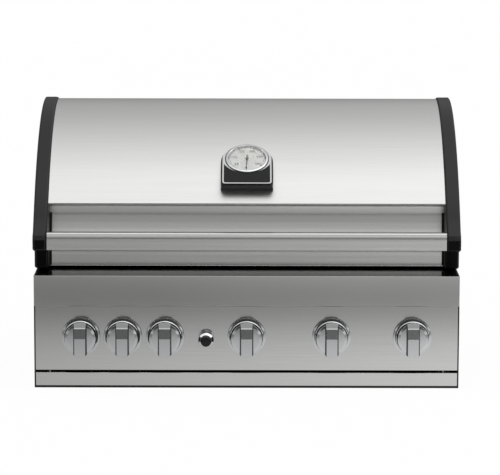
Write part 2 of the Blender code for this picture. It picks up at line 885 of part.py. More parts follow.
def make_drip_tray():
    half = tray_half_width
    front, back = behind(sheet + gap), behind(tray_depth)
    low, high = tray_floor_height, tray_floor_height + tray_wall_height
    wall = thin_sheet
    tray = place("drip_tray", block(-half, half, front, back, low, high - wall / 2), raw_steel)
    lip = half + tray_lip
    add(tray, block(-lip, lip, front + wall / 2, back - wall / 2, high - wall, high))
    cut(tray, block(-half + wall, half - wall, front + wall, back - wall, low + wall,
                    high + overrun))
    half = panel_width / 2
    y = behind(0)
    low = tray_front_lift
    high = low + tray_front_height
    section = [
        (y, low), (y, high), (y + sheet, high), (y + sheet, low),
    ]
    place("drip_tray_front", prism(section, -half, half), brushed_steel)


def cap_outline():
    arc_points = hood_arc(0.0, brow_rise, pivot_rise)
    pivot = (pivot_depth, pivot_rise)
    corner = arc(pivot, hinge_corner, 0.0, -math.pi / 2, corner_steps)[1:]
    nose = [
        (cap_front_depth, cap_foot_rise), (cap_front_depth, nose_floor_rise),
        (nose_floor_depth, nose_floor_rise), (nose_front_depth, nose_front_rise),
        (nose_waist_depth, nose_waist_rise),
    ]
    return spots(nose + arc_points + corner)


def cap_hollow():
    """The space inside an end cap, open at the cap's foot."""
    curve = hood_arc(cap_rim, cap_hollow_rise, pivot_rise)
    back = hood_depth - cap_rim
    front = cap_front_depth + cap_rim
    foot = cap_foot_rise - overrun
    knee = nose_floor_rise + cap_rim
    tail = [(back - hinge_corner / 2, foot), (front, foot), (front, knee)]
    return spots(curve + tail)


def make_hood():
    y, z = behind(pivot_depth), above(pivot_rise)
    for side, word in ((-1, "left"), (1, "right")):
        low, high = sorted((side * cap_inner, side * hood_width / 2))
        cap = place(f"hood_cap_{word}", prism(cap_outline(), low, high), black_casting)
        edge = cap.modifiers.new("edge", "BEVEL")
        edge.width = cap_edge
        edge.segments = 1
        edge.limit_method = "ANGLE"
        edge.angle_limit = math.radians(edge_degrees)
        low, high = sorted((side * (cap_inner + cap_wall), side * (hood_width / 2 - cap_wall)))
        cut(cap, prism(cap_hollow(), low, high))
        hole_end = cap_inner + pin_length
        low, high = sorted((side * (cap_inner - overrun), side * hole_end))
        cut(cap, cross_rod(pin_radius + gap, low, high, y, z, small_facets))
        make_bracket(side, word, y, z)
    outer = hood_arc(skin_inset, skin_edge_rise, pivot_rise)
    inner = hood_arc(skin_inset + sheet, skin_edge_rise, pivot_rise)
    skin = place("hood_skin", prism(spots(outer + inner[::-1]), -bay_half_width, bay_half_width),
                 brushed_steel)
    inset = skin_inset + sheet + liner_inset
    tail = pivot_rise + liner_tail
    outer = hood_arc(inset, liner_edge_rise, tail)
    inner = hood_arc(inset + thin_sheet, liner_edge_rise, tail)
    liner = place("hood_liner", prism(spots(outer + inner[::-1]), -bay_half_width, bay_half_width),
                  raw_steel)
    for piece in (skin, liner):
        cut(piece, in_gauge_frame(gauge_rod(probe_radius + gap, -probe_length, overrun)))
    lintel_depth = arc_point(skin_inset, arc_start(skin_inset, skin_edge_rise))[0]
    panel = [
        (lintel_depth, skin_edge_rise - lintel_drop), (throat_depth - sheet, throat_top_rise),
        (throat_depth, throat_rise), (chin_depth, chin_rise), (lip_depth, lip_rise),
        (lip_foot_depth, lip_foot_rise),
    ]
    outline = strip(spots(panel), -sheet)
    place("hood_front_panel", prism(outline, -bay_half_width, bay_half_width), brushed_steel)
    bar = [
        (brow_depth, handle_top_rise), (handle_brow_depth, handle_brow_rise),
        (handle_lip_depth, handle_lip_rise), (handle_lip_depth, handle_floor_rise),
        (handle_heel_depth, handle_floor_rise), (brow_depth + handle_depth, handle_shoulder_rise),
        (brow_depth + handle_depth, handle_top_rise),
    ]
    handle = place("hood_handle", prism(spots(bar), -bay_half_width, bay_half_width),
                   brushed_steel)
    reach = bay_half_width + overrun
    cut(handle, prism(spots(drawn_in(bar, handle_wall)), -reach, reach))


def make_bracket(side, word, y, z):
    """Hinge plate on the firebox's flange, with the pin that the end cap turns on."""
    outer = flange_reach - gap
    inner = outer - bracket_sheet
    foot = side_flange_height + sheet + gap
    foot_back = y - bracket_foot_gap
    foot_front = foot_back - bracket_foot_length
    eye = arc((y, z), bracket_eye, -math.pi / 4, math.pi / 2, corner_steps)
    neck = bracket_eye * math.sin(math.pi / 4)
    outline = [
        (foot_front, foot), (foot_back, foot), (foot_back, foot + bracket_eye),
        (y - neck, z - neck), *eye, (foot_front + bracket_eye, z + bracket_eye),
    ]
    low, high = sorted((side * inner, side * outer))
    bracket = place(f"hinge_bracket_{word}", prism(outline, low, high), raw_steel)
    low, high = sorted((side * (outer - sheet), side * (cap_inner + pin_length - gap)))
    add(bracket, cross_rod(pin_radius, low, high, y, z, small_facets))


def gauge_frame():
    """Turns the gauge's own frame, face out along -Y and up along Z, to its tilt over the skin."""
    start = arc_start(skin_inset, gauge_foot_rise)
    half_depth = front_arc()[1] - skin_inset
    height = arc_height - skin_inset
    skin_slope = math.atan2(math.sin(start) * half_depth, math.cos(start) * height)
    turn = skin_slope + math.radians(gauge_wedge_degrees)
    outwards = Vector((-math.cos(turn), math.sin(turn)))
    upwards = Vector((math.sin(turn), math.cos(turn)))
    skin_foot = Vector(arc_point(skin_inset, start))
    skin_line = hood_arc(skin_inset, gauge_foot_rise, pivot_rise)
    bulge = max((Vector(point) - skin_foot).dot(outwards) for point in skin_line)
    foot = skin_foot + outwards * (bulge + gauge_clearance) - upwards * gauge_slide
    place_on_hood = Matrix.Translation((0, behind(foot.x), above(foot.y)))
    return place_on_hood @ Matrix.Rotation(-turn, 4, "X")


def in_gauge_frame(shape):
    shape.transform(gauge_frame())
    return shape


def gauge_rod(radius, y_low, y_high):
    """A rod on the dial's axis; lengths count from the plate's back, positive to the viewer."""
    return rod(radius, -y_high, -y_low, small_facets, 0, ring_centre_up)


def arch(width, length, corner):
    """A plate with small lower corners and a round top about the dial's centre."""
    half = width / 2
    top = length - ring_centre_up
    turn = [
        (half * math.cos(a), ring_centre_up + top * math.sin(a))
        for a in (math.pi * i / arc_steps for i in range(arc_steps + 1))
    ]
    left = arc((corner - half, corner), corner, math.pi, 1.5 * math.pi, corner_steps)
    right = arc((half - corner, corner), corner, 1.5 * math.pi, 2 * math.pi, corner_steps)
    return turn + left + right


def make_gauge():
    plan = arch(plate_width + 2 * base_margin, plate_length + base_margin, base_corner)
    plan = [(x, z - base_margin) for x, z in plan]
    seat = hood_arc(skin_inset - gap, skin_edge_rise, pivot_rise)
    deep = probe_length
    side = spots([*seat, (hood_depth, hood_rise + deep), (0.0, hood_rise + deep)])
    base = place("gauge_base", in_gauge_frame(prism(plan, gap, deep, "Y")), black_plastic)
    recess = deep * math.tan(math.radians(base_draft_degrees))
    draft = [(0.0, -base_margin), (0.0, -deep), (deep, -deep), (deep, recess - base_margin)]
    cut(base, in_gauge_frame(prism(draft, -plate_width, plate_width)))
    keep(base, prism(side, -plate_width, plate_width))
    add(base, in_gauge_frame(gauge_rod(probe_radius, -probe_length, -sheet)))
    make_gauge_face()


def make_gauge_face():
    """Plate with the dial's ring, then the dial, the needle on its boss and the glass over them."""
    disc = window_radius - gap
    boss_top = dial_sheet + dial_boss_height
    needle_low = boss_top + gap
    hub_top = needle_low + 2 * needle_sheet
    lens_low = hub_top + gap
    ring_top = lens_low + lens_sheet + lens_drop
    plan = arch(plate_width, plate_length, plate_corner)
    plate = place("gauge_plate", in_gauge_frame(prism(plan, -plate_sheet, 0.0, "Y")),
                  polished_steel)
    add(plate, in_gauge_frame(gauge_rod(ring_radius, sheet, ring_top)))
    cut(plate, in_gauge_frame(gauge_rod(window_radius, -overrun, ring_top + overrun)))
    dial = place("gauge_dial", in_gauge_frame(gauge_rod(disc, 0.0, dial_sheet)), white_enamel)
    add(dial, in_gauge_frame(gauge_rod(dial_boss, dial_sheet / 2, boss_top)))
    place("gauge_lens", in_gauge_frame(gauge_rod(disc, lens_low, lens_low + lens_sheet)),
          clear_glass)
    half = needle_width / 2
    blade = [
        (-half, 0.0), (-half / 2, -needle_length), (half / 2, -needle_length), (half, 0.0),
        (half, needle_tail), (-half, needle_tail),
    ]
    swing = math.radians(-needle_degrees)
    blade = [
        (x * math.cos(swing) - z * math.sin(swing),
         ring_centre_up + x * math.sin(swing) + z * math.cos(swing)) for x, z in blade
    ]
    shape = in_gauge_frame(prism(blade, -needle_low - needle_sheet, -needle_low, "Y"))
    needle = place("gauge_needle", shape, black_plastic)
    add(needle, in_gauge_frame(gauge_rod(needle_hub, needle_low, hub_top)))


make_casing()
make_front()
make_firebox()
make_burners()
make_heat_plates()
make_grates()
make_rear_burner()
make_rack()
make_gas_train()
make_knobs()
make_igniter()
make_drip_tray()
make_hood()
make_gauge()
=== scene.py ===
# %% [markdown]
# # A built-in gas grill
# The grill drops into a worktop: a curved stainless hood on two black cast caps, a fascia band and a
# control panel with six gas knobs, and a drip tray behind the narrow strip at the foot. The CAD
# model gives every place and size, and this script dresses it so that it looks as the real one does
# from any side.

import json
import math

import bmesh
import bpy
from mathutils import Matrix, Vector

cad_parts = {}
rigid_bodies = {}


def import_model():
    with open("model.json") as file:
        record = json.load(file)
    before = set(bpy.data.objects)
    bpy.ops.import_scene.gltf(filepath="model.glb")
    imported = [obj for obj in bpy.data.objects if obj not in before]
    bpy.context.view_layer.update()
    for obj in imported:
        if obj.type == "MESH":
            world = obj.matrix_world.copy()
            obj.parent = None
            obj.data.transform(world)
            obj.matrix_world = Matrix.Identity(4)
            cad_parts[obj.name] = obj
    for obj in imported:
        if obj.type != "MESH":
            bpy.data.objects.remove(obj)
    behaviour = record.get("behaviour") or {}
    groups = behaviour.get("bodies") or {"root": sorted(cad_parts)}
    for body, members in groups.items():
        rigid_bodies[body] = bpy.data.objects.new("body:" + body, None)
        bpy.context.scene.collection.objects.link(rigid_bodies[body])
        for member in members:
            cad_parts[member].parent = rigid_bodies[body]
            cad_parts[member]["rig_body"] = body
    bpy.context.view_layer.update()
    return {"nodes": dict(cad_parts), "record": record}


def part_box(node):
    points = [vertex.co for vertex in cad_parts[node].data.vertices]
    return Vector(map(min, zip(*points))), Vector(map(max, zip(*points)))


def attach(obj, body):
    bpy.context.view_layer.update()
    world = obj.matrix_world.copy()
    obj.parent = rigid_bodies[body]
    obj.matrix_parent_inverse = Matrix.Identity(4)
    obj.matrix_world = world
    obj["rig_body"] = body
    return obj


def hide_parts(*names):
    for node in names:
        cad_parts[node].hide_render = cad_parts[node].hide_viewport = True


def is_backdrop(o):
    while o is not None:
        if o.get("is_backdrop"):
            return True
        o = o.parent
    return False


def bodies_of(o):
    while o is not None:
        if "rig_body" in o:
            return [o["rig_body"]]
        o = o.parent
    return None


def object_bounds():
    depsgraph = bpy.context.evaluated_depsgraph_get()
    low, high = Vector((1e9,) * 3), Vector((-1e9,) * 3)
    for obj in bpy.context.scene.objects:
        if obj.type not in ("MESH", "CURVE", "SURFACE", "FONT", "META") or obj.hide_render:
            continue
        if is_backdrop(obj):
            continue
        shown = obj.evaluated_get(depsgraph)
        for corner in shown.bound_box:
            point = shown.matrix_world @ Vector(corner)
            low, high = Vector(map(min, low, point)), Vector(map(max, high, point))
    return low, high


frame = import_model()
scene = bpy.context.scene
mm = 0.001

# %% [markdown]
# The camera stands five and a half metres in front, a little above the hood, with a long lens, as a
# catalogue photographer would. Its pitch of nine degrees is what shows the hood's curve and the ledge.

# %% Camera, in metres, degrees and the lens's mm
camera_place = Vector((0.0044, -5.53, 1.1427))
camera_pitch = math.radians(9.14)
camera_roll = math.radians(-0.12)
sensor_width = 36.0
lens = 199.7

camera = bpy.data.objects.new("camera", bpy.data.cameras.new("camera"))
camera.data.sensor_width = sensor_width
camera.data.lens = lens
camera.location = camera_place
camera.rotation_euler = (math.pi / 2 - camera_pitch, camera_roll, 0.0)
scene.collection.objects.link(camera)
scene.camera = camera
scene.view_settings.view_transform = "Standard"
print("camera at", [round(v, 3) for v in camera_place], "lens", lens)

# %% [markdown]
# A few helpers serve every material. `linear` turns an sRGB hex colour into the linear values that a
# shader socket wants. `node` adds a shader node and fills or links its sockets in one line. `surface`
# makes the material, and `noise` and `between` give the uneven patterns that real finishes have.


# %% Material helpers
def linear(code):
    """An sRGB hex colour as the linear red, green, blue and alpha of a shader socket."""
    shares = [int(code[i:i + 2], 16) / 255 for i in (1, 3, 5)]
    bent = [c / 12.92 if c <= 0.04045 else ((c + 0.055) / 1.055) ** 2.4 for c in shares]
    return (*bent, 1.0)


def node(tree, kind, inputs, **settings):
    """A shader node with its settings, and its sockets set to a value or linked to another's output."""
    made = tree.nodes.new(kind)
    for name, value in settings.items():
        setattr(made, name, value)
    for name, value in inputs.items():
        if isinstance(value, bpy.types.NodeSocket):
            tree.links.new(value, made.inputs[name])
        else:
            made.inputs[name].default_value = value
    return made


def surface(name, build):
    """A material whose shader is made by build, which gets the material's empty node tree."""
    material = bpy.data.materials.new(name)
    material.use_nodes = True
    tree = material.node_tree
    tree.nodes.clear()
    shader = build(tree)
    node(tree, "ShaderNodeOutputMaterial", {"Surface": shader.outputs[0]})
    return material


octave_share = 0.55
usual_noise = (0.3, 0.7)


def noise(tree, size, detail=3.0, stretch=(1.0, 1.0, 1.0)):
    """A noise value from 0 to 1, with spots as large as size in metres, drawn out along an axis."""
    place = node(tree, "ShaderNodeTexCoord", {}).outputs["Object"]
    scale = tuple(1 / (size * share) for share in stretch)
    mapped = node(tree, "ShaderNodeMapping", {"Vector": place, "Scale": scale}).outputs["Vector"]
    return node(tree, "ShaderNodeTexNoise", {"Vector": mapped, "Scale": 1.0, "Detail": detail,
                "Roughness": octave_share}).outputs["Fac"]


def between(tree, value, low, high):
    """The value stretched from the usual span of a noise to run from low to high."""
    return node(tree, "ShaderNodeMapRange", {"Value": value, "From Min": usual_noise[0],
                "From Max": usual_noise[1], "To Min": low, "To Max": high}).outputs["Result"]


print("a mid grey in linear values:", [round(v, 3) for v in linear("#808080")[:3]])

# %% [markdown]
# The steel sheets are brushed along the grill's width. Real brush marks are about 0.1 mm wide, finer
# than a pixel at this distance, so the lines are drawn 1.6 mm wide and very weak. A broad cloud of
# slightly duller steel keeps large sheets from looking computed.


# %% Steel finishes
brush_line = 1.6 * mm
brush_length = 180 * mm
cloud_size = 160 * mm
cloud_stretch = (2.5, 1.0, 1.0)
smooth_detail = 2.0
brush_strength = 0.2
even_share = 0.5
steel_tones = ("#d8d8d7", "#d3d3d2")


def brushed(name, colour, darker, rough, drift, line, length, relief):
    """Steel with brush lines along X. They stretch each highlight across the lines."""
    def build(tree):
        lines = noise(tree, line, smooth_detail, (length / line, 1.0, 1.0))
        cloud = noise(tree, cloud_size, smooth_detail, cloud_stretch)
        tone = node(tree, "ShaderNodeMix", {"Factor": between(tree, lines, 0.0, 1.0),
                    "A": linear(colour), "B": linear(darker)}, data_type="RGBA")
        both = node(tree, "ShaderNodeMath", {0: lines, 1: cloud}, operation="ADD").outputs[0]
        half = node(tree, "ShaderNodeMath", {0: both, 1: even_share},
                    operation="MULTIPLY").outputs[0]
        marks = node(tree, "ShaderNodeBump", {"Height": lines, "Strength": brush_strength,
                     "Distance": relief})
        return node(tree, "ShaderNodeBsdfPrincipled", {
            "Base Color": tone.outputs["Result"], "Metallic": 1.0,
            "Roughness": between(tree, half, rough - drift, rough + drift),
            "Normal": marks.outputs["Normal"]})
    return surface(name, build)


# The long sheets: soft satin, reflections drawn into wide bands
brushed_steel = brushed("brushed_stainless_steel", *steel_tones, rough=0.23, drift=0.02,
                        line=brush_line, length=brush_length, relief=0.007 * mm)
# The hood's skin: a coarser brush, so the gauge's mirror image fades into a soft shadow
coarse_steel = brushed("coarse_brushed_stainless_steel", *steel_tones, rough=0.37, drift=0.02,
                       line=brush_line, length=brush_length, relief=0.007 * mm)
# The fascia band and the panels below it: a finer grain, which mirrors the dark gap over the ledge
satin_steel = brushed("fine_satin_stainless_steel", *steel_tones, rough=0.15, drift=0.02,
                      line=brush_line, length=brush_length, relief=0.005 * mm)
# The ledge on top of the fascia band: the same sheet, painted darker as the shade under the hood
shaded_ledge_steel = brushed("painted_shade_stainless_steel", "#757574", "#706f6e", rough=0.15, drift=0.02,
                      line=brush_line, length=brush_length, relief=0.005 * mm)
# Knobs, rings and the gauge's frame: nearly a mirror, with the faint orange peel of buffing
polished_steel = brushed("polished_stainless_steel", "#d9dadb", "#d3d4d5", rough=0.11, drift=0.02,
                         line=2.5 * mm, length=2.5 * mm, relief=0.004 * mm)
# Liner, grates and tray: mill finish, duller and a little warmer
plain_steel = brushed("mill_finish_stainless_steel", "#b6b4b0", "#a8a5a0", rough=0.40, drift=0.06,
                      line=5 * mm, length=12 * mm, relief=0.03 * mm)
print("steel finishes:", brushed_steel.name, polished_steel.name, plain_steel.name)

# %% [markdown]
# Paint, enamel and moulded plastic share one recipe: two close tones that drift into each other, a
# gloss that a fine grain breaks up, and a shallow bump from the same grain.


# %% Painted, moulded and cast finishes
speck_detail = 4.0
coat_cloud = 70 * mm
coat_strength = 0.4


def coated(name, colour, other, rough, drift, grain, relief, metallic=0.0, bend=1.5):
    """A coat or moulding with a fine grain in its gloss and relief."""
    def build(tree):
        speck = noise(tree, grain, speck_detail)
        cloud = noise(tree, coat_cloud, smooth_detail)
        tone = node(tree, "ShaderNodeMix", {"Factor": between(tree, cloud, 0.0, 1.0),
                    "A": linear(colour), "B": linear(other)}, data_type="RGBA")
        bumps = node(tree, "ShaderNodeBump", {"Height": speck, "Strength": coat_strength,
                     "Distance": relief})
        return node(tree, "ShaderNodeBsdfPrincipled", {
            "Base Color": tone.outputs["Result"], "Metallic": metallic, "IOR": bend,
            "Roughness": between(tree, speck, rough - drift, rough + drift),
            "Normal": bumps.outputs["Normal"]})
    return surface(name, build)


# End caps: fine black powder coat over a casting, a satin that lifts to dark grey in the light
powder_coat = coated("black_powder_coat_on_aluminium", "#0b0b0c", "#0f0f10", rough=0.42, drift=0.06,
                     grain=1.3 * mm, relief=0.05 * mm, bend=1.44)
# The caps below their noses: the same coat, painted deeper black and duller as the hood's shade there
shaded_coat = coated("painted_shade_black_powder_coat", "#060606", "#080808", rough=0.50, drift=0.05,
                     grain=1.3 * mm, relief=0.05 * mm, bend=1.2)
# Casing and rails: smoother baked enamel
enamel = coated("black_baked_enamel", "#171717", "#1c1b1a", rough=0.34, drift=0.05,
                grain=2.5 * mm, relief=0.03 * mm)
# Knob cores, igniter button, gauge base: moulded black plastic, faint sheen; also painted shade in gaps
plastic = coated("moulded_black_plastic", "#0f0f10", "#131314", rough=0.38, drift=0.05,
                 grain=0.9 * mm, relief=0.02 * mm, bend=1.4)
# The field under the dial: a matt black print, with less shine than paint has
black_print = coated("matt_black_print", "#0d0d0e", "#111112", rough=0.42, drift=0.03,
                     grain=3 * mm, relief=0.004 * mm, bend=1.33)
# Valves, stems and gas fittings: brass that has dulled a little
brass = coated("dulled_brass", "#c3a05a", "#b08e4a", rough=0.32, drift=0.07,
               grain=3 * mm, relief=0.02 * mm, metallic=1.0)
# Rear burner: pierced ceramic tiles, chalky and pale
ceramic = coated("burner_ceramic", "#b9a78e", "#a4937b", rough=0.85, drift=0.05,
                 grain=2 * mm, relief=0.15 * mm)
# Gauge dial: pale printed enamel
dial_enamel = coated("pale_dial_enamel", "#f0f0ec", "#ecece7", rough=0.5, drift=0.04,
                     grain=1.5 * mm, relief=0.003 * mm)
# Dial marks and needle: flat dark ink and paint
dark_ink = coated("dark_dial_ink", "#2b2b2d", "#333335", rough=0.55, drift=0.04,
                  grain=0.8 * mm, relief=0.002 * mm)
# The dial's window: a flat disc of clear glass
glass_cover = 0.3


def clear_glass(tree):
    """Glass with a low alpha, because it is thin and lets the dial show plainly."""
    return node(tree, "ShaderNodeBsdfPrincipled", {"Base Color": linear("#fbfdfc"), "IOR": 1.5,
                "Roughness": 0.0, "Transmission Weight": 1.0, "Alpha": glass_cover})


lens_glass = surface("gauge_glass", clear_glass)
print("coats:", [m.name for m in (powder_coat, enamel, plastic, black_print, brass, ceramic)])

# %% [markdown]
# `piece` turns a finished bmesh into a shown object that rides on a CAD body. `dressed` starts from a
# CAD part instead: its loose triangles are merged into flat faces, and the sharp edges are rolled
# over, as folded sheet and castings have them. The rolled edges catch the thin lines of light that
# make a sheet look like metal.

# %% Making pieces
merge = 0.01 * mm
bevel_profile = 0.5
flat_angle = math.radians(0.5)
sharp_angle = math.radians(30)
slot_of = {part["node"]: part["material_slot"] for part in frame["record"]["subparts"]}
finish_of = {
    "brushed_stainless": brushed_steel, "polished_stainless": polished_steel,
    "plain_stainless": plain_steel, "black_cast_aluminium": powder_coat,
    "black_enamelled_steel": enamel, "black_plastic": plastic, "brass_fittings": brass,
    "infrared_burner": ceramic, "dial_enamel": dial_enamel, "dial_glass": lens_glass,
}


def piece(name, shape, material, body, nodes=(), edge=0.0, segments=3, sharp=sharp_angle):
    """A shown object made from a bmesh, which stands for the CAD nodes that it replaces."""
    bmesh.ops.recalc_face_normals(shape, faces=shape.faces)
    mesh = bpy.data.meshes.new(name)
    shape.to_mesh(mesh)
    shape.free()
    mesh.shade_smooth()
    mesh.set_sharp_from_angle(angle=sharp)
    mesh.materials.append(material)
    made = bpy.data.objects.new(name, mesh)
    scene.collection.objects.link(made)
    if edge:
        rolled = made.modifiers.new("rolled_edge", "BEVEL")
        rolled.width = edge
        rolled.segments = segments
        rolled.limit_method = "ANGLE"
        rolled.angle_limit = sharp
        rolled.harden_normals = True
    if nodes:
        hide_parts(*nodes)
    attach(made, body)
    return made


def flattened(shape):
    """A shape whose coplanar faces are joined into one."""
    bmesh.ops.dissolve_limit(shape, angle_limit=flat_angle, verts=shape.verts, edges=shape.edges)
    return shape


def merged(name):
    """A CAD node's mesh with its triangles merged into flat faces."""
    shape = bmesh.new()
    shape.from_mesh(frame["nodes"][name].data)
    bmesh.ops.remove_doubles(shape, verts=shape.verts, dist=merge)
    return flattened(shape)


def body_of(name):
    """The body that a CAD node rides on."""
    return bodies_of(frame["nodes"][name])[0]


def dressed(name, edge=0.4 * mm, segments=2, material=None):
    """A CAD part with its edges rolled over, in the finish that the record gives it."""
    slot = slot_of[name]
    return piece(f"{name}_dressed", merged(name), material or finish_of[slot], body_of(name),
                 (name,), edge, segments)


print(len(slot_of), "CAD parts to dress")

# %% [markdown]
# Knobs, bezels, rings and the igniter are round, so they are spun about an axis that runs from front
# to back, from a few points given as distance from the axis and depth. Planes then slice off what is
# flat, and `absorbed` brings parts that were made apart into one mesh.


# %% Spinning round parts
turn_steps = 96


def spun(profile, centre, steps=turn_steps):
    """A round shape about the Y axis through centre, from (radius, depth) pairs in mm."""
    shape = bmesh.new()
    closed = profile[0] == profile[-1]
    spots = [shape.verts.new((r * mm, y * mm, 0.0)) for r, y in profile[:len(profile) - closed]]
    ends = spots + spots[:1] if closed else spots
    edges = [shape.edges.new(pair) for pair in zip(ends, ends[1:])]
    bmesh.ops.spin(shape, geom=spots + edges, cent=(0, 0, 0), axis=(0, 1, 0), angle=2 * math.pi,
                   steps=steps, use_merge=True)
    bmesh.ops.remove_doubles(shape, verts=shape.verts, dist=merge)
    bmesh.ops.translate(shape, verts=shape.verts, vec=centre)
    return shape


def sliced(shape, point, normal):
    """The part of a solid behind a plane, closed again where the plane cut it."""
    cut = bmesh.ops.bisect_plane(shape, geom=shape.verts[:] + shape.edges[:] + shape.faces[:],
                                 dist=merge, plane_co=point, plane_no=normal, clear_outer=True)
    rim = [e for e in cut["geom_cut"] if isinstance(e, bmesh.types.BMEdge)]
    bmesh.ops.contextual_create(shape, geom=rim)
    return shape


def absorbed(shape, other):
    """shape with other's mesh added to it."""
    mesh = bpy.data.meshes.new("passing")
    other.to_mesh(mesh)
    other.free()
    shape.from_mesh(mesh)
    bpy.data.meshes.remove(mesh)
    return shape


print("round parts have", turn_steps, "steps")

# %% [markdown]
# ## The knobs
# Each knob is a black moulded core with buffed steel over its fronts: a ring, a round face and a flat
# grip bar. The face is a very shallow cone that steepens at its rim, so the rim mirrors the dark end
# of the room in an arc over the top, and the rest shades to light below. The bar's top end slopes
# steeply, and its upper half leans back a little. That lean turns the mirror towards the dark far end
# of the room, which is the dark patch on each grip.

# %% Knob sizes, in mm
skirt_depth = 8.5
skirt_step = 3.0
skirt_wall = 3.0
neck_depth = 13.5
groove_depth = 3.0
face_cone = 0.85
face_rim = 5.0
face_rim_fall = 0.8
grip_width = 20.8
grip_draft_degrees = 14.0
grip_slope_length = 15.0
grip_slope_depth = 7.6
grip_lean_degrees = 6.4
grip_ridge_degrees = 15.5
grip_ridge_rise = 22.4
grip_ridge_cut = 0.2
grip_lean_start = 2.0
grip_overlap = 2.0
knob_round = 0.35
ring_slope = (1.7, 1.3)
fine_angle = math.radians(3.5)
sideways = -0.45
knob_boxes = [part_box(f"knob_{number}") for number in range(1, 7)]
print("knobs are", round((knob_boxes[0][1].x - knob_boxes[0][0].x) / mm, 1), "mm across")

# %% [markdown]
# A grip starts as a round disc, and planes slice it to a bar with slightly drafted sides, so that its
# ends keep the face's curve. Faces that don't look to the front then take the core's black.


# %% Knob shapes
def grip_bar(centre, radius, front, back):
    """The bar across a knob's face, sliced from a disc."""
    shape = spun([(0, front), (radius, front), (radius, back), (0, back)], centre)
    draft = math.radians(grip_draft_degrees)
    for side in (-1, 1):
        edge = centre + Vector((side * grip_width / 2 * mm, front * mm, 0))
        sliced(shape, edge, (side * math.cos(draft), -math.sin(draft), 0))
    slope_foot = centre + Vector((0, front * mm, (radius - grip_slope_length) * mm))
    sliced(shape, slope_foot, Vector((0, -grip_slope_length, grip_slope_depth)).normalized())
    lean = math.radians(grip_lean_degrees)
    lean_foot = centre + Vector((0, front * mm, grip_lean_start * mm))
    sliced(shape, lean_foot, (0, -math.cos(lean), math.sin(lean)))
    ridge = math.radians(grip_ridge_degrees)
    depth = (grip_ridge_rise - grip_lean_start) * math.tan(lean) + grip_ridge_cut
    ridge_spot = centre + Vector((0, (front + depth) * mm, grip_ridge_rise * mm))
    sliced(shape, ridge_spot, (0, -math.cos(ridge), math.sin(ridge)))
    return flattened(shape)


def two_tone(shown, material, is_second):
    """Gives every face that doesn't look to the front, or that passes a test, the second material."""
    shown.data.materials.append(material)
    for face in shown.data.polygons:
        face.material_index = int(face.normal.y > sideways or is_second(face.center))


print("grip bars are", grip_width, "mm wide")

# %% [markdown]
# The bezel is a shallow cone around each knob. It falls by less than a millimetre, so its upper half
# mirrors the dark room and its lower half the pale floor. One loop makes all six pairs, each from the
# boxes of its own CAD parts.

# %% Knobs and bezels
bezel_bore = 9.0
bezel_flat = 33.4
bezel_fall = 0.6
bezel_wall = 1.0
bezel_round = 0.25
for number, (low, high) in enumerate(knob_boxes, 1):
    centre = Vector(((low.x + high.x) / 2, 0.0, (low.z + high.z) / 2))
    skirt_radius = (high.x - low.x) / 2 / mm
    radius = skirt_radius - skirt_step
    back, front = high.y / mm, low.y / mm
    skirt_front = back - skirt_depth
    face = skirt_front - neck_depth
    ring_inside = skirt_radius - ring_slope[0]
    core = spun([(0, face), (radius - face_rim, face + face_cone),
                 (radius, face + face_cone + face_rim_fall), (radius, skirt_front + groove_depth),
                 (ring_inside, skirt_front + groove_depth), (ring_inside, skirt_front),
                 (skirt_radius, skirt_front + ring_slope[1]), (skirt_radius, back),
                 (skirt_radius - skirt_wall, back),
                 (skirt_radius - skirt_wall, skirt_front + 2 * skirt_wall),
                 (0, skirt_front + 2 * skirt_wall)], centre)
    grip = grip_bar(centre, skirt_radius, front, face + grip_overlap)
    made = piece(f"knob_{number}_turning", absorbed(flattened(core), grip), polished_steel,
                 body_of(f"knob_{number}"), (f"knob_{number}",),
                 edge=knob_round * mm, sharp=fine_angle)
    # The groove's bottom takes the core's black, as painted shade for the dark the narrow groove holds
    two_tone(made, plastic, lambda spot: spot.y > (skirt_front + groove_depth / 2) * mm)
    low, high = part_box(f"knob_bezel_{number}")
    radius, back, front = (high.x - low.x) / 2 / mm, high.y / mm, low.y / mm
    rim = [(bezel_bore, back), (radius, back), (radius, front + bezel_fall), (bezel_flat, front),
           (bezel_flat - bezel_wall, front + bezel_wall), (bezel_bore, front + bezel_wall),
           (bezel_bore, back)]
    made = piece(f"knob_bezel_{number}_turning", spun(rim, centre), polished_steel,
                 body_of(f"knob_bezel_{number}"), (f"knob_bezel_{number}",),
                 edge=bezel_round * mm)
    # The bezel's inside under the knob's skirt, and its outer wall, take black as painted shade for the
    # gap
    painted_shade_radius = (bezel_flat - bezel_wall / 2) * mm
    two_tone(made, plastic, lambda spot: (spot - centre).xz.length < painted_shade_radius)
print("bezels are", round(2 * radius, 1), "mm across")

# %% [markdown]
# ## The igniter
# The push button is a plain black plastic plunger in a polished collar with a sloped front. Both are
# turned parts, so each is spun from its half section, as on a lathe.

# %% Igniter, in mm
collar_bore = 10.4
collar_mouth = (10.8, 0.8)
collar_slope = ((0.3, 2.9), (3.9, 0.3))
collar_shoulder = 3.4
button_flat_share = 0.55
button_dome = ((1.4, 0.5), (0.0, 2.0))
igniter_round = 0.4
low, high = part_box("igniter_collar")
centre = Vector(((low.x + high.x) / 2, 0.0, (low.z + high.z) / 2))
radius, back, front = (high.x - low.x) / 2 / mm, high.y / mm, low.y / mm
collar = [(collar_bore, back), (radius, back), (radius, front + collar_shoulder),
          *[(radius - inset, front + fall) for inset, fall in collar_slope],
          (collar_mouth[0], front), (collar_bore, front + collar_mouth[1]), (collar_bore, back)]
piece("igniter_collar_turning", spun(collar, centre), polished_steel,
      body_of("igniter_collar"), ("igniter_collar",), edge=igniter_round * mm)
low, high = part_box("igniter_button")
radius, back, front = (high.x - low.x) / 2 / mm, high.y / mm, low.y / mm
plunger = [(0, front), (radius * button_flat_share, front),
           *[(radius - inset, front + fall) for inset, fall in button_dome], (radius, back), (0, back)]
piece("igniter_button_turning", spun(plunger, centre), plastic,
      body_of("igniter_button"), ("igniter_button",), edge=igniter_round * mm)
print("igniter button is", round(2 * radius, 1), "mm across")

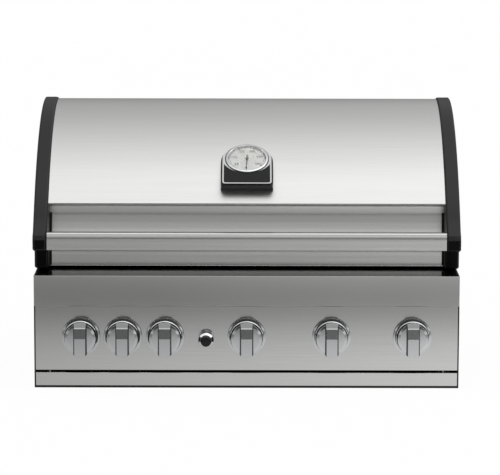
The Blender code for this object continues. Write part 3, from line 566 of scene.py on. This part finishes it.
# %% [markdown]
# ## The temperature gauge
# The gauge lies on the hood's slope, so its pieces are made flat and then turned into its plane:
# across, up the plate, and out from it, with the dial's centre as the origin. The pointer's joint
# gives that plane, because the pointer turns about the dial's axis.

# %% The gauge's plane
joints = {joint["name"]: joint for joint in frame["record"]["behaviour"]["joints"]}
pointer = joints["gauge_pointer_turn"]
outward = -Vector(pointer["axis"]).normalized()
across = Vector((1.0, 0.0, 0.0))
upward = outward.cross(across)
tilt = Matrix((across, upward, outward)).transposed().to_4x4()
on_plate = Matrix.Translation(pointer["pos_m"]) @ tilt
turned_up = Matrix.Rotation(-math.pi / 2, 4, "X")
print("the dial faces", [round(v, 3) for v in outward])

# %% [markdown]
# The polished frame is a plate with a round top, and a ring that rises from it around the dial. Its
# outline is the upper half of an ellipse with two corners added below it, filled round the window
# and then drawn out to a plate. A thin black ring round the foot of the ring is painted shade: the
# dark line of a groove there.


# %% The gauge's frame, in mm: its rings are given as radius and height over the plate's foot
plate_low, plate_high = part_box("gauge_plate")
plate_half = (plate_high.x - plate_low.x) / 2 / mm
plate_reach = 40.5
plate_bottom = -73.5
plate_thick = 3.0
plate_corner = 6.0
corner_segments = 8
frame_round = 0.4
window_radius = 36.5
ring_radius = 41.8
ring_foot = 2.0
ring_profile = [(ring_radius, ring_foot), (ring_radius, 4.4), (41.2, 5.2), (38.6, 6.3), (37.6, 6.2),
                (window_radius, 5.2), (window_radius, ring_foot), (ring_radius, ring_foot)]
groove_width = 1.4
groove_sink = 0.2
groove_rise = 0.1


def arched(half, bottom, corner, radii, rise, lower=False):
    """A flat face between an arc and two lower corners, the arc being part of an ellipse."""
    shape = bmesh.new()
    bmesh.ops.create_circle(shape, segments=2 * turn_steps, radius=1.0)
    away = [v for v in shape.verts if (v.co.y > merge) == lower or abs(v.co.x) > half / radii[0] + merge]
    bmesh.ops.delete(shape, geom=away, context="VERTS")
    bow = sorted(shape.verts, key=lambda v: -v.co.x)
    bmesh.ops.scale(shape, verts=bow, vec=(radii[0] * mm, radii[1] * mm, 1.0))
    bmesh.ops.translate(shape, verts=bow, vec=(0, rise * mm, 0))
    corners = [shape.verts.new((side * half * mm, bottom * mm, 0.0)) for side in (-1, 1)]
    shape.faces.new([corners[1], *bow, corners[0]])
    bmesh.ops.bevel(shape, geom=corners, offset=corner * mm, segments=corner_segments,
                    profile=bevel_profile, affect="VERTICES", material=-1)
    return shape


def drawn_out(shape, low, high):
    """A flat shape drawn out to a plate between two heights."""
    bmesh.ops.translate(shape, verts=shape.verts, vec=(0, 0, low * mm))
    grown = bmesh.ops.extrude_face_region(shape, geom=shape.faces[:])
    top = [v for v in grown["geom"] if isinstance(v, bmesh.types.BMVert)]
    bmesh.ops.translate(shape, verts=top, vec=(0, 0, (high - low) * mm))
    return shape


plate = arched(plate_half, plate_bottom, plate_corner, (plate_half, plate_reach), 0.0)
bmesh.ops.delete(plate, geom=plate.faces[:], context="FACES_ONLY")
bmesh.ops.create_circle(plate, segments=turn_steps, radius=window_radius * mm)
bmesh.ops.triangle_fill(plate, use_beauty=True, edges=plate.edges[:])
drawn_out(plate, 0.0, plate_thick)
ring = spun([(radius, -height) for radius, height in ring_profile], (0, 0, 0))
ring.transform(turned_up)
absorbed(plate, ring)
plate.transform(on_plate)
piece("gauge_frame_polished", plate, polished_steel, body_of("gauge_plate"),
      ("gauge_plate",), edge=frame_round * mm, segments=2)
# The black ring is painted shade, drawn as a thin plastic band on the plate
inner, outer = ring_radius - groove_sink, ring_radius + groove_width
low, high = plate_thick - groove_rise, plate_thick + groove_rise
groove = [(inner, low), (outer, low), (outer, high), (inner, high), (inner, low)]
joint = spun([(radius, -height) for radius, height in groove], (0, 0, 0))
joint.transform(on_plate @ turned_up)
piece("gauge_ring_painted_groove_shade", joint, plastic, body_of("gauge_plate"))
print("the gauge's plate is", round(2 * plate_half, 1), "mm wide")

# %% [markdown]
# The field below the dial is a matt black print with a thin border of bare metal. It stands a fifth
# of a millimetre over the plate and is sunk a little into it, so it has an edge as a thick print has.

# %% The black field, in mm
field_half = 45.2
field_bottom = -70.6
field_arc = 51.2
field_rise = 8.7
field_corner = 4.0
field_height = 0.2
field_sink = 0.1
field_round = 0.08
field = arched(field_half, field_bottom, field_corner, (field_arc, field_arc), field_rise, lower=True)
drawn_out(field, plate_thick - field_sink, plate_thick + field_height)
field.transform(on_plate)
piece("gauge_field_black", field, black_print, body_of("gauge_plate"),
      edge=field_round * mm, segments=2)
print("the field is", 2 * field_half, "mm wide")

# %% [markdown]
# The dial's marks are thin ink solids on its face: a stroke for every ten degrees of the pointer's
# turn, a longer one every fifty, and plain numbers beside those. Text is a flat curve, so it is
# turned into a mesh first, and then takes its place.

# %% Dial marks, in mm and degrees
dial_top = 1.0
ink_height = 0.12
needle_round = 0.15
stroke_outer = 35.4
long_stroke = (5.0, 1.5)
short_stroke = (2.8, 0.8)
stroke_step = 10
long_step = 50
rest_degrees = -93.0
letter_detail = 2
number_radius = 25.5
number_size = 8.2
number_boldness = 0.1
turn_limit = pointer["range_deg"][1]


def stroke(turn, length, width):
    """A radial ink stroke that ends at the scale's rim."""
    shape = bmesh.new()
    bmesh.ops.create_cube(shape, size=1.0)
    bmesh.ops.scale(shape, verts=shape.verts, vec=(length * mm, width * mm, ink_height * mm))
    middle = Vector(((stroke_outer - length / 2) * mm, 0, (dial_top + ink_height / 2) * mm))
    bmesh.ops.translate(shape, verts=shape.verts, vec=middle)
    bmesh.ops.rotate(shape, verts=shape.verts, cent=(0, 0, 0), matrix=Matrix.Rotation(turn, 3, "Z"))
    return shape


def lettered(words, spot):
    """Upright flat characters about a spot on the dial, drawn out to a thin solid."""
    curve = bpy.data.curves.new("words", "FONT")
    curve.body = words
    curve.size = number_size * mm
    curve.align_x = "CENTER"
    curve.align_y = "CENTER"
    curve.resolution_u = letter_detail
    curve.offset = number_boldness * mm
    holder = bpy.data.objects.new("words", curve)
    shape = bmesh.new()
    shape.from_mesh(holder.to_mesh())
    bpy.data.objects.remove(holder)
    bmesh.ops.remove_doubles(shape, verts=shape.verts, dist=merge)
    drawn_out(shape, dial_top, dial_top + ink_height)
    bmesh.ops.translate(shape, verts=shape.verts, vec=(spot[0] * mm, spot[1] * mm, 0))
    return shape


marks = bmesh.new()
for value in range(0, int(turn_limit) + 1, stroke_step):
    turn = math.radians(rest_degrees - value)
    major = value % long_step == 0
    absorbed(marks, stroke(turn, *(long_stroke if major else short_stroke)))
    if major:
        spot = (number_radius * math.cos(turn), number_radius * math.sin(turn))
        absorbed(marks, lettered(str(value), spot))
marks.transform(on_plate)
piece("gauge_dial_marks", marks, dark_ink, body_of("gauge_dial"))
dressed("gauge_needle", needle_round * mm, material=dark_ink)
print("the scale runs to", turn_limit, "degrees of turn")

# %% [markdown]
# ## The handle
# The handle is a full-width bar of folded sheet with a slightly bowed front. Its rolled top mirrors
# the low bright card, which draws the thin light line along it, and the bow below shades from the
# dark far end of the room to the pale floor. Its section is a few points, given as depth from its
# front and height in mm, with rounded corners, drawn out along the bar.

# %% Handle
handle_low, handle_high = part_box("hood_handle")
handle_section = [(0.9, 0.0), (28.5, 0.0), (35.1, 10.0), (35.1, 29.0), (24.0, 33.8), (14.0, 34.5),
                  (8.0, 34.3), (4.7, 33.2), (3.0, 31.6), (1.8, 27.6), (1.0, 23.6), (0.75, 19.5),
                  (0.5, 13.0), (0.22, 6.5), (0.0, 1.2)]
handle_round = 1.1
handle_end_round = 0.5
fold_segments = 4


def full_width(section, corner_round, low_x, high_x):
    """A bar or folded sheet along X, from the depths and heights of its section."""
    shape = bmesh.new()
    spots = [shape.verts.new((low_x, depth, height)) for depth, height in section]
    shape.faces.new(spots)
    bmesh.ops.bevel(shape, geom=spots, offset=corner_round, segments=fold_segments,
                    profile=bevel_profile, affect="VERTICES", material=-1)
    grown = bmesh.ops.extrude_face_region(shape, geom=shape.faces[:])
    end = [v for v in grown["geom"] if isinstance(v, bmesh.types.BMVert)]
    bmesh.ops.translate(shape, verts=end, vec=(high_x - low_x, 0, 0))
    return shape


bar = full_width([(handle_low.y + depth * mm, handle_low.z + height * mm)
                  for depth, height in handle_section], handle_round * mm, handle_low.x, handle_high.x)
piece("hood_handle_bar", bar, brushed_steel, body_of("hood_handle"),
      ("hood_handle",), edge=handle_end_round * mm)
print("the handle is", round((handle_high.x - handle_low.x) / mm), "mm long")

# %% [markdown]
# ## The set-back panel
# Behind the handle one folded sheet runs from under the hood's lip down to the ledge. It is almost
# upright at its top, and from a soft fold downwards it leans back more and more, which is what makes
# it brighten towards the handle. Below the handle it turns upright again. The section is that line,
# given as depth and height in mm, and the same line one sheet behind it. A narrow black flange of
# each cap laps over the panel's end.

# %% Set-back panel
panel_low, panel_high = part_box("hood_front_panel")
sheet_shift = 1.0
sheet_round = 0.4
lip_drop = 1.2
panel_line = [(0.0, 126.3 - lip_drop), (42.9, 119.8 - lip_drop), (43.9, 115.0), (43.3, 103.0),
              (43.0, 99.0), (41.55, 91.5), (40.1, 84.0), (37.45, 71.5), (34.5, 59.3), (25.4, 31.0),
              (25.1, 27.0), (25.0, 20.0), (25.0, 1.0), (24.6, 0.0)]
lapped_points = slice(3, -1)
flange_lap = 0.7
flange_width = 4.2
flange_round = 0.1
panel_front = [(panel_low.y + depth * mm, panel_low.z + height * mm) for depth, height in panel_line]
panel_back = [(y + sheet_shift * mm, z + sheet_shift * mm) for y, z in reversed(panel_front)]
sheet = full_width(panel_front + panel_back, sheet_round * mm, panel_low.x, panel_high.x)
piece("hood_front_panel_fold", sheet, brushed_steel,
      body_of("hood_front_panel"), ("hood_front_panel",))
lapped = panel_front[lapped_points]
lap = [(y - flange_lap * mm, z) for y, z in lapped] + lapped[::-1]
for start, word in ((panel_low.x, "left"), (panel_high.x - flange_width * mm, "right")):
    flange = full_width(lap, flange_round * mm, start, start + flange_width * mm)
    piece(f"cap_flange_{word}", flange, powder_coat,
          body_of(f"hood_cap_{word}"))
print("the panel is", round((panel_high.z - panel_low.z) / mm), "mm high")

# %% [markdown]
# ## The rear burner
# Behind the grates an infrared burner stands upright: six pierced ceramic tiles in a steel tray, and
# four guard rods in front of them. Real tiles have holes about 1.3 mm wide and 2 mm apart, and here
# they are drawn twice as coarse. Each hole is one face of a grid, drawn in to a smaller square and
# pushed back, and the whole skin then gets a thickness.

# %% Rear burner tiles, in mm
burner_low, burner_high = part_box("rear_burner")
tile_count = 6
tile_margin = 9.0
tile_joint = 1.5
tile_recess = 4.0
hole_pitch = 4.0
hole_web = 0.9
hole_depth = 1.5
tile_skin = 0.8
tray_width = (burner_high.x - burner_low.x) / mm
tray_height = (burner_high.z - burner_low.z) / mm
tile_width = (tray_width - 2 * tile_margin) / tile_count - tile_joint
tile_height = tray_height - 2 * tile_margin
turned_front = Matrix.Rotation(math.pi / 2, 4, "X")
tiles = bmesh.new()
for number in range(tile_count):
    tile = bmesh.new()
    bmesh.ops.create_grid(tile, x_segments=int(tile_width / hole_pitch),
                          y_segments=int(tile_height / hole_pitch), size=0.5)
    bmesh.ops.scale(tile, verts=tile.verts, vec=(tile_width * mm, tile_height * mm, 1.0))
    bmesh.ops.inset_individual(tile, faces=tile.faces[:], thickness=hole_web * mm,
                               depth=-hole_depth * mm)
    tile.transform(turned_front)
    left_edge = burner_low.x / mm + tile_margin + (number + 0.5) * (tile_width + tile_joint)
    spot = (left_edge * mm, burner_low.y + tile_recess * mm, (burner_low.z + burner_high.z) / 2)
    bmesh.ops.translate(tile, verts=tile.verts, vec=spot)
    absorbed(tiles, tile)
tile_faces = piece("rear_burner_tiles", tiles, ceramic, body_of("rear_burner"))
thick = tile_faces.modifiers.new("thickness", "SOLIDIFY")
thick.thickness = tile_skin * mm
thick.offset = 0.0
print(tile_count, "tiles of", round(tile_width, 1), "by", round(tile_height, 1), "mm")

# %% [markdown]
# The tray is a block whose front face is drawn in and pushed back to a pan that holds the tiles. Four
# polished rods across it keep food and tools off the ceramic.

# %% Rear burner tray and guard, in mm
pan_rim = 8.0
pan_depth = 8.0
tray_round = 0.8
front_facing = -0.5
rod_radius = 1.6
rod_sides = 12
rod_count = 4
tray = bmesh.new()
bmesh.ops.create_cube(tray, size=1.0)
bmesh.ops.scale(tray, verts=tray.verts, vec=burner_high - burner_low)
bmesh.ops.translate(tray, verts=tray.verts, vec=(burner_high + burner_low) / 2)
front_face = [f for f in tray.faces if f.normal.y < front_facing]
bmesh.ops.inset_region(tray, faces=front_face, thickness=pan_rim * mm, depth=0.0)
bmesh.ops.translate(tray, verts=front_face[0].verts, vec=(0, pan_depth * mm, 0))
piece("rear_burner_tray", tray, plain_steel, body_of("rear_burner"),
      ("rear_burner",), edge=tray_round * mm)
guard = bmesh.new()
for number in range(rod_count):
    rod = bmesh.new()
    bmesh.ops.create_cone(rod, cap_ends=True, segments=rod_sides, radius1=rod_radius * mm,
                          radius2=rod_radius * mm, depth=(tray_width - tile_margin) * mm)
    rod.transform(Matrix.Rotation(math.pi / 2, 4, "Y"))
    height = burner_low.z / mm + tile_margin + (number + 0.5) * tile_height / rod_count
    spot = ((burner_low.x + burner_high.x) / 2, burner_low.y + rod_radius * mm, height * mm)
    bmesh.ops.translate(rod, verts=rod.verts, vec=spot)
    absorbed(guard, rod)
piece("rear_burner_guard", guard, polished_steel, body_of("rear_burner"))
print(rod_count, "guard rods of", 2 * rod_radius, "mm")

# %% [markdown]
# ## Screws
# Three small pan-head screws hold each end of the front. Only the domes of their heads show, in
# profile, at the grill's edges.

# %% Screws, in mm
dome_steps = (24, 12)
screw_radius = 3.6
screw_height = 1.5
screw_heights = (48.0, 128.0, 175.0)
screw_depth = 20.0
front_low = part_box("front_frame_left")[0]
for side, word in ((-1, "left"), (1, "right")):
    heads = bmesh.new()
    for height in screw_heights:
        dome = bmesh.new()
        bmesh.ops.create_uvsphere(dome, u_segments=dome_steps[0], v_segments=dome_steps[1],
                                  radius=screw_radius * mm)
        sliced(dome, (0, 0, 0), (0, 0, -1))
        bmesh.ops.scale(dome, verts=dome.verts, vec=(1, 1, screw_height / screw_radius))
        dome.transform(Matrix.Rotation(side * math.pi / 2, 4, "Y"))
        spot = (-side * front_low.x, front_low.y + screw_depth * mm, height * mm)
        bmesh.ops.translate(dome, verts=dome.verts, vec=spot)
        absorbed(heads, dome)
    piece(f"side_screws_{word}", heads, polished_steel,
          body_of("front_frame_left"))
print("screws stand", screw_height, "mm proud of the sides")

# %% [markdown]
# ## The rest
# The other parts keep their CAD shapes. Their loose triangles are merged into flat faces first, and
# then each edge is rolled over by a radius that suits how the part is made: wide on the cast caps
# and the fascia's fold, narrow on thin sheet. Three parts take painted shade on some faces: the caps
# are painted deeper black below their noses, and the ledge on top of the fascia darker steel.


# %% The rest of the CAD parts, with their roundings in mm
rounding = {"hood_cap_left": 1.6, "hood_cap_right": 1.6, "fascia_band": 2.0, "control_panel": 0.5,
            "drip_tray_front": 0.7, "hood_skin": 0.3}
usual_rounding = 0.35
left = [n for n in sorted(frame["nodes"]) if not frame["nodes"][n].hide_render]
own_finish = {"hood_skin": coarse_steel, "fascia_band": satin_steel, "control_panel": satin_steel,
              "drip_tray_front": satin_steel}
shade_rise = 18.0
shade_height = handle_low.z + shade_rise * mm
forward_facing = -0.1
level_facing = 0.9


def on_the_nose(face):
    """Whether a face of a cap looks forward, below its nose, where its painted shade goes."""
    return face.center.z < shade_height and face.normal.y < forward_facing


def on_the_ledge(face):
    """Whether a face looks straight up."""
    return face.normal.z > level_facing


# Faces with painted shade: the caps below their noses and the ledge on the fascia
painted_shade_finish = {"hood_cap_left": (shaded_coat, on_the_nose),
                 "hood_cap_right": (shaded_coat, on_the_nose),
                 "fascia_band": (shaded_ledge_steel, on_the_ledge)}
for name in left:
    shown = dressed(name, rounding.get(name, usual_rounding) * mm, material=own_finish.get(name))
    if name in painted_shade_finish:
        material, is_second = painted_shade_finish[name]
        shown.data.materials.append(material)
        # The rolled edges keep the first finish
        shown.modifiers["rolled_edge"].material = 0
        for face in shown.data.polygons:
            face.material_index = int(is_second(face))
print(len(left), "parts dressed as they are")

# %% [markdown]
# ## The studio
# The studio has a white cove, a broad soft light overhead, a low card in front and a dark room
# behind the camera. Steel has no colour of its own, so these bands are what draw the hood's curve,
# the set-back panel and the dark patches on the knobs. The camera, and glass, see plain white.


# %% World: soft light that changes with its height over the front
def graded(tree, value, low, high, tones, full):
    """A smooth scale of tones, from place to tone, that a value runs through from low to high."""
    share = node(tree, "ShaderNodeMapRange", {"Value": value, "From Min": low, "From Max": high})
    ramp = node(tree, "ShaderNodeFloatCurve", {"Value": share.outputs["Result"]})
    curve = ramp.mapping.curves[0]
    spots = [((at - low) / (high - low), tone / full) for at, tone in tones.items()]
    for at, tone in spots[1:-1]:
        curve.points.new(at, tone)
    curve.points[0].location = spots[0]
    curve.points[-1].location = spots[-1]
    ramp.mapping.update()
    return ramp.outputs["Value"]


sky_full = 2.1
sky_tones = {0: 0.28, 3: 0.11, 6: 0.07, 10: 0.09, 14: 0.50, 18: 1.00, 26: 0.95, 33: 0.70, 43: 0.50,
             54: 0.90, 65: 1.75, 74: 2.00, 84: 1.68, 93: 1.38, 104: 1.15, 115: 0.98, 127: 0.78,
             138: 0.69, 150: 0.68, 160: 0.45, 168: 0.22, 180: 0.22}
side_reach = 0.4
side_shares = (0.78, 1.22)
tilt_tones = {math.radians(angle): tone for angle, tone in sky_tones.items()}
world = bpy.data.worlds.new("studio")
world.use_nodes = True
scene.world = world
tree = world.node_tree
tree.nodes.clear()
direction = node(tree, "ShaderNodeTexCoord", {})
parts = node(tree, "ShaderNodeSeparateXYZ", {"Vector": direction.outputs["Generated"]})
forward = node(tree, "ShaderNodeMath", {0: parts.outputs["Y"], 1: -1.0}, operation="MULTIPLY")
rise = node(tree, "ShaderNodeMath", {0: parts.outputs["Z"], 1: forward.outputs["Value"]},
            operation="ARCTAN2")
sky = graded(tree, rise.outputs["Value"], 0.0, math.pi, tilt_tones, sky_full)
side = node(tree, "ShaderNodeMapRange", {"Value": parts.outputs["X"], "From Min": -side_reach,
            "From Max": side_reach, "To Min": side_shares[0] * sky_full,
            "To Max": side_shares[1] * sky_full}, interpolation_type="SMOOTHSTEP")
level = node(tree, "ShaderNodeMath", {0: sky, 1: side.outputs["Result"]}, operation="MULTIPLY")
path = node(tree, "ShaderNodeLightPath", {})
seen = node(tree, "ShaderNodeMath", {0: path.outputs["Is Camera Ray"],
            1: path.outputs["Is Transmission Ray"]}, operation="MAXIMUM")
soft = node(tree, "ShaderNodeBackground", {"Strength": level.outputs["Value"]})
cove = node(tree, "ShaderNodeBackground", {"Strength": 1.0})
both = node(tree, "ShaderNodeMixShader", {0: seen.outputs["Value"], 1: soft.outputs[0],
            2: cove.outputs[0]})
node(tree, "ShaderNodeOutputWorld", {"Surface": both.outputs[0]})
print("sky tones by degrees over the front horizon:", sky_tones)

# %% [markdown]
# The floor is pale paper. The camera sees it nearly white, with the grill's faint shadow on it. In
# the steel it is graded: it is darker from one to one and a half metres in front, and on the left.

# %% Floor
floor_reach = 12.0
floor_tones = {-3.0: 0.62, -2.3: 0.76, -1.95: 0.84, -1.8: 0.74, -1.55: 0.22, -1.2: 0.20, -1.05: 0.29,
               -0.9: 0.44, -0.65: 0.62, -0.45: 0.68, -0.2: 0.66}
floor_span = (min(floor_tones), max(floor_tones))
floor_glow = 0.95
floor_white = 1.01
paper_tone = "#e6e6e5"
floor_side_reach = 0.45
floor_side_shares = (0.76, 1.20)


def pale_paper(tree):
    """Paper that glows evenly to the camera, shows its graded tones in gloss, and takes a shadow."""
    place = node(tree, "ShaderNodeTexCoord", {}).outputs["Object"]
    spot = node(tree, "ShaderNodeSeparateXYZ", {"Vector": place}).outputs
    fall = graded(tree, spot["Y"], *floor_span, floor_tones, 1.0)
    side = node(tree, "ShaderNodeMapRange", {"Value": spot["X"], "From Min": -floor_side_reach,
                "From Max": floor_side_reach, "To Min": floor_side_shares[0],
                "To Max": floor_side_shares[1]})
    shade = node(tree, "ShaderNodeMath", {0: fall, 1: side.outputs["Result"]}, operation="MULTIPLY")
    path = node(tree, "ShaderNodeLightPath", {}).outputs
    tone = node(tree, "ShaderNodeMix", {"Factor": path["Is Camera Ray"], "A": shade.outputs["Value"],
                "B": floor_white})
    seen = node(tree, "ShaderNodeMath", {0: path["Is Camera Ray"], 1: path["Is Glossy Ray"]},
                operation="MAXIMUM")
    share = node(tree, "ShaderNodeMath", {0: seen.outputs["Value"], 1: floor_glow},
                 operation="MULTIPLY")
    matt = node(tree, "ShaderNodeBsdfDiffuse", {"Color": linear(paper_tone)})
    glow = node(tree, "ShaderNodeEmission", {"Color": tone.outputs["Result"], "Strength": 1.0})
    return node(tree, "ShaderNodeMixShader", {0: share.outputs["Value"], 1: matt.outputs[0],
                2: glow.outputs[0]})


paper = surface("pale_paper", pale_paper)
paper.cycles.emission_sampling = "NONE"
shape = bmesh.new()
bmesh.ops.create_grid(shape, x_segments=1, y_segments=1, size=floor_reach)
floor_mesh = bpy.data.meshes.new("floor")
shape.to_mesh(floor_mesh)
shape.free()
floor_mesh.materials.append(paper)
floor = bpy.data.objects.new("floor", floor_mesh)
scene.collection.objects.link(floor)
floor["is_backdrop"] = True
print("floor", floor_reach * 2, "m wide")

# %% The box of what is shown
low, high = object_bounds()
print("visual box in mm:", [round(v / mm, 1) for v in (*low, *high)])
